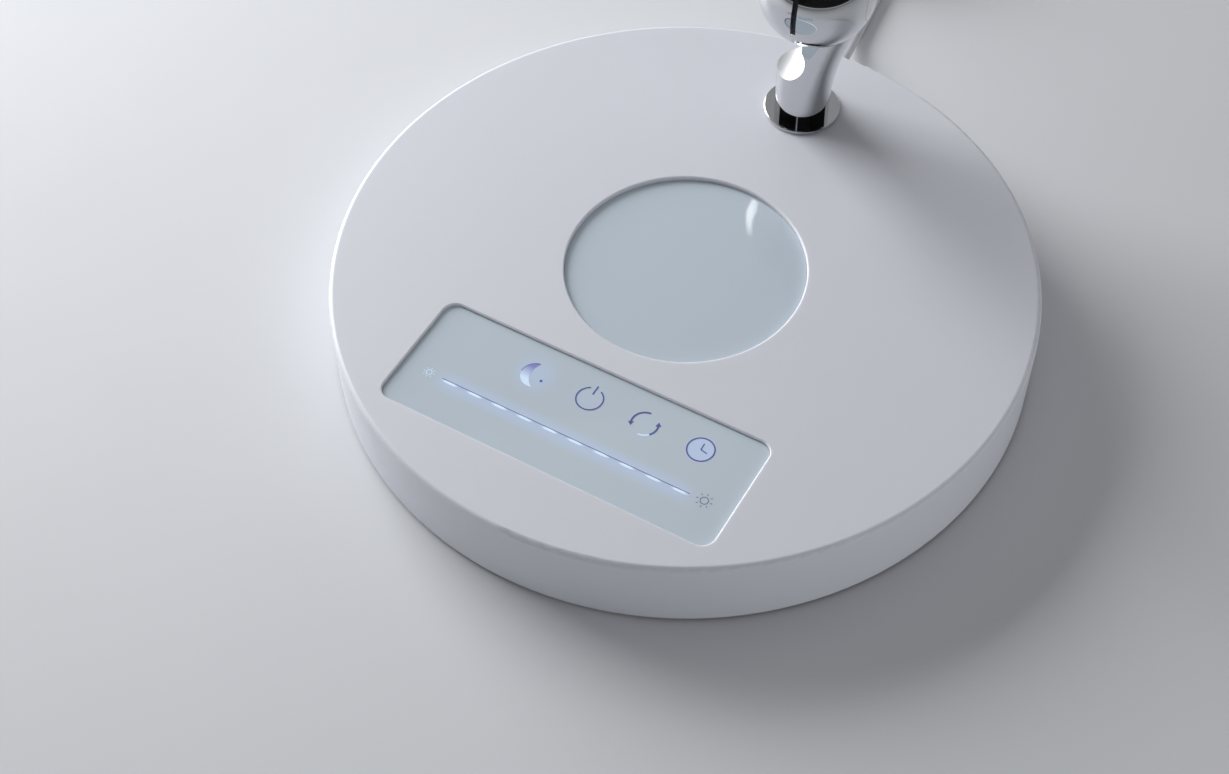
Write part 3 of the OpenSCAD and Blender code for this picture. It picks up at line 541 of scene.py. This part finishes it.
class LAMP_OT_cord(bpy.types.Operator):
    """Lay the supply cord from the base to its adaptor"""

    bl_idname = "lamp.cord"
    bl_label = "Supply cord"

    layers = 4
    points_per_turn = 24
    # Turns that the climb from one layer to the next takes
    climb = 0.5
    # Route from the gland to the coil, in millimetres
    route = (
        (-4.4, 110, 8.2), (-4.6, 112, 8.05), (-4.95, 114, 7.6), (-5.4, 116, 6.9), (-5.95, 118.5, 5.9),
        (-6.6, 121.5, 4.7), (-7.35, 125, 3.5), (-8.1, 129, 2.5), (-8.75, 133.5, 1.95), (-9.3, 138, 1.8),
        (-9.9, 143, 1.8), (-10.45, 148, 1.8), (-11, 153, 1.8), (-11.5, 159, 1.8), (-11.85, 165, 1.9),
        (-12, 171, 2.2), (-12.05, 177.5, 2.65), (-12, 183, 2.7),
    )

    def execute(self, context):
        sizes = context.scene.lamp_cord
        lead = [Vector(point) * MILLIMETRE for point in self.route]
        points = lead + self.coil(sizes, lead[-1])
        points.append(points[-1] - Vector((sizes.diameter, 0.0, 0.0)))
        points.append(points[-1] - Vector((sizes.tail, 0.0, 0.0)))
        data = bpy.data.curves.new("supply_cord", "CURVE")
        data.dimensions = "3D"
        data.bevel_depth = sizes.diameter / 2
        data.bevel_resolution = 4
        data.resolution_u = 4
        data.use_fill_caps = True
        spline = data.splines.new("BEZIER")
        spline.bezier_points.add(len(points) - 1)
        for knot, point in zip(spline.bezier_points, points):
            knot.co = point
            knot.handle_left_type = "AUTO"
            knot.handle_right_type = "AUTO"
        cord = bpy.data.objects.new("supply_cord", data)
        context.scene.collection.objects.link(cord)
        data.materials.append(soft_skin("cord_jacket", tuple(context.scene.lamp_colours.cord), rough=0.45))
        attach(cord, "base")
        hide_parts("cord_lead", "cord_coil", "cord_tail")
        return {"FINISHED"}

    def measure(self, points):
        """Length of the line through the points."""
        return sum((b - a).length for a, b in zip(points, points[1:]))

    def coil(self, sizes, start):
        """Points of the coil, which winds in and out by turns, one layer on the other."""
        pitch = sizes.diameter + sizes.turn_gap
        layer_turns = sizes.coil_turns / self.layers
        inside = sizes.coil_radius - layer_turns * pitch / 2
        outside = sizes.coil_radius + layer_turns * pitch / 2
        middle = start + Vector((-outside, sizes.diameter, 0.0))
        count = round(sizes.coil_turns * self.points_per_turn)
        points = []
        for step in range(count + 1):
            turn = sizes.coil_turns * step / count
            radius = inside + (outside - inside) * abs(turn / layer_turns % 2 - 1)
            height = Vector((0.0, 0.0, pitch * self.risen(turn, layer_turns)))
            points.append(around(middle, radius, FULL_TURN * turn) + height)
        return points

    def risen(self, turn, layer_turns):
        """Layers climbed so far, with each climb eased at both ends."""
        total = 0.0
        for layer in range(1, self.layers):
            share = min(1.0, max(0.0, (turn - layer * layer_turns) / self.climb + 0.5))
            total += share * share * (3.0 - 2.0 * share)
        return total


class LAMP_OT_base(bpy.types.Operator):
    """Finish the base's cover, plate, ballast, foot and gland"""

    bl_idname = "lamp.base"
    bl_label = "Base"

    ballast_tint = (0.06, 0.06, 0.062)
    # How much of the cover's light goes through its skin, and how deep each colour of it
    scatter_share = 0.5
    scatter_depth = 0.0016
    scatter_colours = (1.0, 0.97, 0.94)

    def execute(self, context):
        colours = context.scene.lamp_colours
        dress(self.cover(tuple(colours.cover)), "base_cover")
        dress(turned("plate_steel", tuple(colours.steel), rough=0.4, stretch=ROLLED_LINES), "base_plate")
        dress(soft_skin("foot_rubber", tuple(colours.rubber), rough=0.8), "foot_pad")
        dress(soft_skin("cast_ballast", self.ballast_tint, rough=0.7, grain=400.0), "ballast")
        dress(soft_skin("gland", tuple(colours.cord), rough=0.5), "cord_gland")
        return {"FINISHED"}

    def cover(self, tint):
        """White plastic that lets a little light through its edges."""
        material = moulded("cover_plastic", tint, rough=0.42, grain=1200.0, relief=0.015, coat=0.08)
        shader = material.node_tree.nodes["Principled BSDF"]
        shader.inputs["Subsurface Weight"].default_value = self.scatter_share
        shader.inputs["Subsurface Radius"].default_value = self.scatter_colours
        shader.inputs["Subsurface Scale"].default_value = self.scatter_depth
        return material


class LAMP_OT_glass(bpy.types.Operator):
    """Finish the two tinted glasses, with the glow behind the touch panel"""

    bl_idname = "lamp.glass"
    bl_label = "Glass"

    slider_glow = 0.14
    slider_reach = 0.0046
    end_reach = 0.0035
    # Strength, inner and outer radius of the glow at the moon, power, cycle and clock symbols
    halos = ((0.11, 0.001, 0.0085), (0.05, 0.001, 0.0065), (0.03, 0.001, 0.0065), (0.17, 0.0034, 0.0046))

    def execute(self, context):
        tint = tuple(context.scene.lamp_colours.glass)
        dress(self.tinted("pad_glass", tint)[0], "pad_glass")
        material, tree, shader = self.tinted("control_glass", tint)
        light = self.glow(tree, context.scene.lamp_panel)
        glow = tuple(context.scene.lamp_colours.glow)
        tree.links.new(ramp(tree, light, BLACK, glow, start=0.0, end=1.0), shader.inputs["Emission Color"])
        shader.inputs["Emission Strength"].default_value = 1.0
        dress(material, "control_glass")
        return {"FINISHED"}

    def tinted(self, name, tint):
        """Glass with a printed back, so that no light comes through; returns what new_finish does."""
        material, tree, shader = new_finish(name)
        place = object_place(tree)
        cloud = noise(tree, place, scale=9.0, detail=2.0)
        tree.links.new(ramp(tree, cloud, darker(tint, share=0.97), tint), shader.inputs["Base Color"])
        gloss = spread(tree, noise(tree, place, scale=120.0), low=0.05, high=0.09)
        tree.links.new(gloss, shader.inputs["Roughness"])
        shader.inputs["IOR"].default_value = 1.52
        return material, tree, shader

    def fade(self, tree, reach, strength, start, end):
        """Light that falls from its strength to nothing between two distances."""
        return spread(tree, reach, low=strength, high=0.0, start=start, end=end, shape="SMOOTHSTEP")

    def glow(self, tree, panel):
        """Light along the slider and around each touch symbol."""
        place = object_place(tree)
        split = tree.nodes.new("ShaderNodeSeparateXYZ")
        tree.links.new(place, split.inputs["Vector"])
        across = calculate(tree, "SUBTRACT", split.outputs["Y"], panel.slider_y)
        beside = calculate(tree, "ABSOLUTE", across, 0.0)
        along = calculate(tree, "ABSOLUTE", split.outputs["X"], 0.0)
        line = self.fade(tree, beside, self.slider_glow, 0.0, self.slider_reach)
        half = panel.slider_length / 2
        ends = self.fade(tree, along, 1.0, half - self.end_reach, half + self.end_reach)
        light = calculate(tree, "MULTIPLY", line, ends)
        for middle, (strength, inner, outer) in zip(symbol_places(panel), self.halos):
            distance = tree.nodes.new("ShaderNodeVectorMath")
            distance.operation = "DISTANCE"
            tree.links.new(place, distance.inputs[0])
            distance.inputs[1].default_value = middle
            halo = self.fade(tree, distance.outputs["Value"], strength, inner, outer)
            light = calculate(tree, "ADD", light, halo)
        return light


class LAMP_OT_symbols(bpy.types.Operator):
    """Draw the four touch symbols and the slider's line between two suns"""

    bl_idname = "lamp.symbols"
    bl_label = "Touch symbols"

    # Widths of lines and arrows, as shares of the panel's stroke
    edge_line = 0.5
    fine_line = 0.6
    hand_line = 0.8
    bold_line = 1.3
    arrow_size = 2.2
    # Moon: its radius as a share of a symbol's diameter, its shift and its star's
    moon_share = 0.54
    moon_shift = Vector((0.0001, -0.0005, 0.0))
    star_shift = Vector((0.0025, -0.00136, 0.0))
    # Start and sweep of the moon's dark edge, the power symbol's ring and the lit arc of the cycle
    moon_edge = (100.0, 85.0)
    power_ring = (115.0, 310.0)
    cycle_lit = (270.0, 48.0)
    # Start, sweep and arrow of the dark arcs of the cycle
    cycle_arcs = ((92.0, 104.0, 202.0), (318.0, 58.0, 382.0))
    # Ends of the power symbol's bar and tips of the clock's hands, from the middle
    power_bar = (Vector((0.0, 0.0016, 0.0)), Vector((0.0, 0.0047, 0.0)))
    clock_hands = (Vector((0.0, 0.0021, 0.0)), Vector((0.0020, -0.0004, 0.0)))
    # Radii of the suns' rings
    large_sun = 0.0011
    small_sun = 0.0008
    # Light and tint of the lit symbols at their foot and top, with the stretch of the change between them
    foot_light = (0.16, 0.25, 0.36)
    top_light = (0.07, 0.07, 0.20)
    foot_tint = (0.55, 0.62, 0.68)
    top_tint = (0.15, 0.16, 0.35)
    change_start = 0.15
    change_end = 0.75
    ink_glow = 0.06

    def execute(self, context):
        panel = context.scene.lamp_panel
        colours = context.scene.lamp_colours
        places = symbol_places(panel)
        moon = places[0] + self.moon_shift
        moon_radius = panel.symbol_diameter * self.moon_share
        row = Vector((0.0, panel.slider_y + panel.slider_lift, places[0].z))
        half = Vector((panel.slider_length / 2, 0.0, 0.0))
        end = Vector((panel.slider_length / 2 + panel.sun_gap, 0.0, 0.0))
        fine = panel.stroke * self.fine_line

        bm = bmesh.new()
        dot(bm, places[0] + self.star_shift, panel.stroke)
        arc(bm, moon, moon_radius, panel.stroke * self.edge_line, *self.moon_edge)
        self.power(bm, panel, places[1])
        self.cycle(bm, panel, places[2])
        self.clock(bm, panel, places[3])
        thicken(bm, panel.film)
        ink = self.ink("symbol_ink", context, tuple(colours.ink))
        place_mesh("touch_symbols", bm, ink, "base")

        bm = bmesh.new()
        sun(bm, row + end, self.large_sun, fine)
        bar(bm, row - half, row + half, fine)
        thicken(bm, panel.film)
        faint = self.ink("sun_ink", context, tuple(colours.faint_ink))
        place_mesh("slider_scale", bm, faint, "base")

        bm = bmesh.new()
        crescent(bm, moon, moon_radius)
        arc(bm, places[2], panel.symbol_diameter / 2, panel.stroke * self.bold_line, *self.cycle_lit)
        sun(bm, row - end, self.small_sun, fine)
        thicken(bm, panel.film)
        place_mesh("lit_symbols", bm, self.lit(context), "base")
        return {"FINISHED"}

    def power(self, bm, panel, middle):
        """An open ring with a bar in its gap."""
        arc(bm, middle, panel.symbol_diameter / 2, panel.stroke, *self.power_ring)
        foot, top = self.power_bar
        bar(bm, middle + foot, middle + top, panel.stroke)

    def cycle(self, bm, panel, middle):
        """Two arcs that end in arrows."""
        radius = panel.symbol_diameter / 2
        for start, sweep, tip in self.cycle_arcs:
            arc(bm, middle, radius, panel.stroke * self.bold_line, start, sweep)
            arrowhead(bm, middle, radius, tip, panel.stroke * self.arrow_size)

    def clock(self, bm, panel, middle):
        """A ring with two hands."""
        arc(bm, middle, panel.symbol_diameter / 2, panel.stroke)
        for tip in self.clock_hands:
            bar(bm, middle, middle + tip, panel.stroke * self.hand_line)

    def ink(self, name, context, tint):
        """Dark ink with a faint glow from behind."""
        material, tree, shader = new_finish(name)
        cloud = noise(tree, object_place(tree), scale=700.0)
        tree.links.new(ramp(tree, cloud, darker(tint, share=0.8), tint), shader.inputs["Base Color"])
        shader.inputs["Emission Color"].default_value = (*context.scene.lamp_colours.glow, 1.0)
        shader.inputs["Emission Strength"].default_value = self.ink_glow
        shader.inputs["Roughness"].default_value = 0.15
        return material

    def lit(self, context):
        """Clear film, lit from behind and bluer towards the symbols' tops."""
        material, tree, shader = new_finish("moon_light")
        split = tree.nodes.new("ShaderNodeSeparateXYZ")
        panel = context.scene.lamp_panel
        centre = symbol_places(panel)[0]
        tree.links.new(object_place(tree, centre=tuple(centre)), split.inputs["Vector"])
        height = panel.symbol_diameter / 2
        climb = spread(tree, split.outputs["Y"], low=0.0, high=1.0, start=-height, end=height)
        light = ramp(tree, climb, self.foot_light, self.top_light, self.change_start, self.change_end)
        tree.links.new(light, shader.inputs["Emission Color"])
        body = ramp(tree, climb, self.foot_tint, self.top_tint, self.change_start, self.change_end)
        tree.links.new(body, shader.inputs["Base Color"])
        shader.inputs["Emission Strength"].default_value = 1.0
        return material


class LAMP_OT_slider(bpy.types.Operator):
    """Make the lit streaks of the slider and finish the light bar behind them"""

    bl_idname = "lamp.slider"
    bl_label = "Slider"

    # Half a streak's length, as a share of the distance between streaks
    streak_share = 0.42
    streak_corners = 28
    # Where the wave along the slider turns from gap to streak, and the light and tint of both
    wave_gap = -0.6
    wave_streak = 0.5
    gap_share = 0.17
    streak_light = (0.24, 0.31, 0.42)
    streak_tint = (0.60, 0.67, 0.73)

    def execute(self, context):
        panel = context.scene.lamp_panel
        light = self.light(context)
        top = symbol_places(panel)[0].z
        first = Vector((-panel.spot_pitch * (panel.slider_spots - 1) / 2, panel.slider_y, top))
        bm = bmesh.new()
        for spot in range(panel.slider_spots):
            middle = first + Vector((panel.spot_pitch * spot, 0.0, 0.0))
            self.streak(bm, panel, middle)
        thicken(bm, panel.film)
        place_mesh("slider_streaks", bm, light, "base")
        dress(light, "slider_guide")
        return {"FINISHED"}

    def streak(self, bm, panel, middle):
        """A long oval."""
        size = Matrix.Diagonal((panel.spot_pitch * self.streak_share, panel.slider_width / 2, 1.0, 1.0))
        bmesh.ops.create_circle(
            bm, cap_ends=True, radius=1.0, segments=self.streak_corners,
            matrix=Matrix.Translation(middle) @ size,
        )

    def light(self, context):
        """Clear plastic, lit in streaks and blue between them."""
        panel = context.scene.lamp_panel
        glass = tuple(context.scene.lamp_colours.glass)
        glow = tuple(context.scene.lamp_colours.glow)
        material, tree, shader = new_finish("slider_light")
        split = tree.nodes.new("ShaderNodeSeparateXYZ")
        tree.links.new(object_place(tree), split.inputs["Vector"])
        along = spot_wave(tree, split.outputs["X"], panel)
        wave = spread(tree, along, low=0.0, high=1.0, start=self.wave_gap, end=self.wave_streak)
        light = ramp(tree, wave, darker(glow, self.gap_share), self.streak_light, start=0.0, end=1.0)
        tree.links.new(light, shader.inputs["Emission Color"])
        body = ramp(tree, wave, glass, self.streak_tint, start=0.0, end=1.0)
        tree.links.new(body, shader.inputs["Base Color"])
        shader.inputs["Emission Strength"].default_value = 1.0
        shader.inputs["Roughness"].default_value = 0.1
        return material


class LAMP_OT_metal(bpy.types.Operator):
    """Finish the stem, the knuckles, the arm tubes and their hardware"""

    bl_idname = "lamp.metal"
    bl_label = "Chrome and steel"

    polish = 0.045
    bronze_tint = (0.45, 0.26, 0.09)
    washer_tint = (0.06, 0.065, 0.075)
    wire_tint = (0.015, 0.015, 0.016)
    # Notch in the post's top, a trough about a level axis, with the depths between which its satin ends
    notch_middle = (-0.00637, 0.07199, 0.0495)
    notch_radius = 0.0085
    notch_turn = math.radians(9.0)
    notch_stretch = (1.0, 1000.0, 1.0)
    notch_rough = 0.5
    satin_depth = 0.0002
    polish_depth = 0.0003

    def execute(self, context):
        colours = context.scene.lamp_colours
        dress(plated("post_chrome", tuple(colours.chrome), self.polish, self.notch), "post")
        dress(
            plated("chrome", tuple(colours.chrome), self.polish), "stem_flange", "base_knuckle_right_cap",
            "base_knuckle_left_cap", "lower_arm_foot", "lower_arm_tube", "lower_arm_top", "elbow_right_cap",
            "elbow_left_cap", "upper_arm_foot", "upper_arm_tube", "upper_arm_end", "head_knuckle_right_cap",
            "head_knuckle_left_cap", "head_neck",
        )
        dress(
            turned("hardware_steel", tuple(colours.steel), rough=0.3), "base_screws", "swivel_washer",
            "swivel_nut", "base_knuckle_bolt", "base_knuckle_nut", "elbow_bolt", "elbow_nut",
            "head_knuckle_bolt", "head_knuckle_nut", "head_clip", "head_screws",
        )
        dress(turned("bush_bronze", self.bronze_tint, rough=0.3), "swivel_bush")
        dress(
            soft_skin("friction_washer", self.washer_tint, rough=0.55), "base_knuckle_washer",
            "elbow_washer", "head_knuckle_washer",
        )
        dress(soft_skin("arm_wire", self.wire_tint, rough=0.5), "lower_arm_wire", "upper_arm_wire")
        return {"FINISHED"}

    def notch(self, tree):
        """The duller cut of the notch, as roughness to add."""
        place = object_place(tree, self.notch_stretch, self.notch_middle, self.notch_turn)
        reach = tree.nodes.new("ShaderNodeVectorMath")
        reach.operation = "LENGTH"
        tree.links.new(place, reach.inputs[0])
        off = calculate(tree, "SUBTRACT", reach.outputs["Value"], self.notch_radius)
        depth = calculate(tree, "ABSOLUTE", off, 0.0)
        return spread(
            tree, depth, low=self.notch_rough, high=0.0, start=self.satin_depth, end=self.polish_depth
        )


class LAMP_OT_electronics(bpy.types.Operator):
    """Finish the boards, lights and charging coil inside"""

    bl_idname = "lamp.electronics"
    bl_label = "Electronics"

    chip_tint = (0.02, 0.02, 0.022)
    led_tint = (0.85, 0.78, 0.42)
    ferrite_tint = (0.03, 0.03, 0.032)
    # Tints of the board's lacquer and of the tracks under it
    board_tints = {
        "Color1": (0.008, 0.075, 0.03, 1.0),
        "Color2": (0.012, 0.095, 0.04, 1.0),
        "Mortar": (0.03, 0.16, 0.06, 1.0),
    }
    track_scale = 260.0
    # Copper of the coil between its wires, darkened as painted shade in the grooves, and on them
    painted_groove_shade = (0.20, 0.06, 0.02)
    wire_tint = (0.62, 0.26, 0.11)
    wire_scale = 320.0
    coil_middle = (0.0, 0.001, 0.0)

    def execute(self, context):
        dress(self.board(), "touch_board", "main_board")
        dress(soft_skin("board_parts", self.chip_tint, rough=0.5), "main_board_parts")
        dress(moulded("led_package", self.led_tint, rough=0.3), "touch_leds", "head_leds")
        dress(self.winding(), "charging_coil")
        dress(soft_skin("ferrite", self.ferrite_tint, rough=0.75, grain=500.0), "coil_ferrite")
        return {"FINISHED"}

    def board(self):
        """Green lacquer over a pattern of tracks."""
        material, tree, shader = new_finish("circuit_board")
        tracks = tree.nodes.new("ShaderNodeTexBrick")
        tracks.inputs["Scale"].default_value = self.track_scale
        for name, tint in self.board_tints.items():
            tracks.inputs[name].default_value = tint
        tree.links.new(object_place(tree), tracks.inputs["Vector"])
        tree.links.new(tracks.outputs["Color"], shader.inputs["Base Color"])
        shader.inputs["Roughness"].default_value = 0.35
        return material

    def winding(self):
        """Copper wire wound in rings about the coil's middle, with painted shade in the grooves between
        turns.
        """
        material, tree, shader = new_finish("copper_winding")
        rings = tree.nodes.new("ShaderNodeTexWave")
        rings.wave_type = "RINGS"
        rings.rings_direction = "Z"
        rings.inputs["Scale"].default_value = self.wire_scale
        tree.links.new(object_place(tree, centre=self.coil_middle), rings.inputs["Vector"])
        # The darker end of this ramp is painted shade between the wires, not a colour of the copper
        copper = ramp(tree, rings.outputs["Fac"], self.painted_groove_shade, self.wire_tint, start=0.1, end=0.8)
        tree.links.new(copper, shader.inputs["Base Color"])
        bump(tree, shader, rings.outputs["Fac"], strength=0.6, distance=0.0003)
        shader.inputs["Metallic"].default_value = 1.0
        shader.inputs["Roughness"].default_value = 0.3
        return material


class LAMP_OT_head(bpy.types.Operator):
    """Finish the head's profile, caps, diffuser and board"""

    bl_idname = "lamp.head"
    bl_label = "Head"

    board_tint = (0.75, 0.75, 0.75)
    frost_low = (0.82, 0.82, 0.80)
    frost_high = (0.86, 0.86, 0.845)
    frost_depth = (0.004, 0.004, 0.004)

    def execute(self, context):
        tint = tuple(context.scene.lamp_colours.head)
        paint = moulded("head_paint", tint, rough=0.3, grain=1500.0, relief=0.02, coat=0.2)
        plastic = moulded("head_plastic", tint, rough=0.36, grain=1100.0, relief=0.02)
        dress(paint, "head_profile")
        dress(plastic, "head_rear_cap", "head_front_cap")
        dress(self.frosted(), "head_diffuser")
        dress(turned("board_metal", self.board_tint, rough=0.35, stretch=ROLLED_LINES), "head_board")
        return {"FINISHED"}

    def frosted(self):
        """Milky plastic with a finely etched face."""
        material, tree, shader = new_finish("diffuser")
        place = object_place(tree)
        frost = noise(tree, place, scale=2500.0, detail=2.0)
        cloud = noise(tree, place, scale=30.0)
        tree.links.new(ramp(tree, cloud, self.frost_low, self.frost_high), shader.inputs["Base Color"])
        tree.links.new(spread(tree, frost, low=0.42, high=0.55), shader.inputs["Roughness"])
        bump(tree, shader, frost, strength=0.1, distance=0.0001)
        shader.inputs["Subsurface Weight"].default_value = 0.3
        shader.inputs["Subsurface Radius"].default_value = self.frost_depth
        return material


class LAMP_OT_adaptor(bpy.types.Operator):
    """Finish the wall adaptor and the cord's tie"""

    bl_idname = "lamp.adaptor"
    bl_label = "Adaptor"

    pin_tint = (0.72, 0.68, 0.58)

    def execute(self, context):
        colours = context.scene.lamp_colours
        plastic = moulded("adaptor_plastic", tuple(colours.adaptor), rough=0.42, grain=800.0, relief=0.05)
        dress(plastic, "adaptor_body")
        dress(plated("plug_pins", self.pin_tint, rough=0.2), "adaptor_pins")
        dress(soft_skin("cord_tie", tuple(colours.rubber), rough=0.6), "cord_tie")
        return {"FINISHED"}


class LAMP_PT_sidebar(bpy.types.Panel):
    """Lists the lamp's settings and steps"""

    bl_label = "LED desk lamp"
    bl_idname = "LAMP_PT_sidebar"
    bl_space_type = "VIEW_3D"
    bl_region_type = "UI"
    bl_category = "Lamp"

    def draw(self, context):
        layout = self.layout
        for step in STEPS:
            layout.operator(step.bl_idname)
        for name, group in SETTINGS.items():
            box = layout.box()
            for prop in group.__annotations__:
                box.prop(getattr(context.scene, name), prop)


SETTINGS = {
    "lamp_panel": LampPanel,
    "lamp_cord": LampCord,
    "lamp_colours": LampColours,
    "lamp_stage": LampStage,
}
STEPS = (
    LAMP_OT_stage,
    LAMP_OT_cord,
    LAMP_OT_base,
    LAMP_OT_glass,
    LAMP_OT_symbols,
    LAMP_OT_slider,
    LAMP_OT_metal,
    LAMP_OT_electronics,
    LAMP_OT_head,
    LAMP_OT_adaptor,
)
CLASSES = (*SETTINGS.values(), *STEPS, LAMP_PT_sidebar)


def register():
    for cls in CLASSES:
        bpy.utils.register_class(cls)
    for name, group in SETTINGS.items():
        setattr(bpy.types.Scene, name, PointerProperty(type=group))


def unregister():
    for name in SETTINGS:
        delattr(bpy.types.Scene, name)
    for cls in reversed(CLASSES):
        bpy.utils.unregister_class(cls)


def main():
    register()
    bpy.ops.lamp.stage()
    bpy.ops.lamp.cord()
    bpy.ops.lamp.base()
    bpy.ops.lamp.glass()
    bpy.ops.lamp.symbols()
    bpy.ops.lamp.slider()
    bpy.ops.lamp.metal()
    bpy.ops.lamp.electronics()
    bpy.ops.lamp.head()
    bpy.ops.lamp.adaptor()


if __name__ == "__main__":
    main()
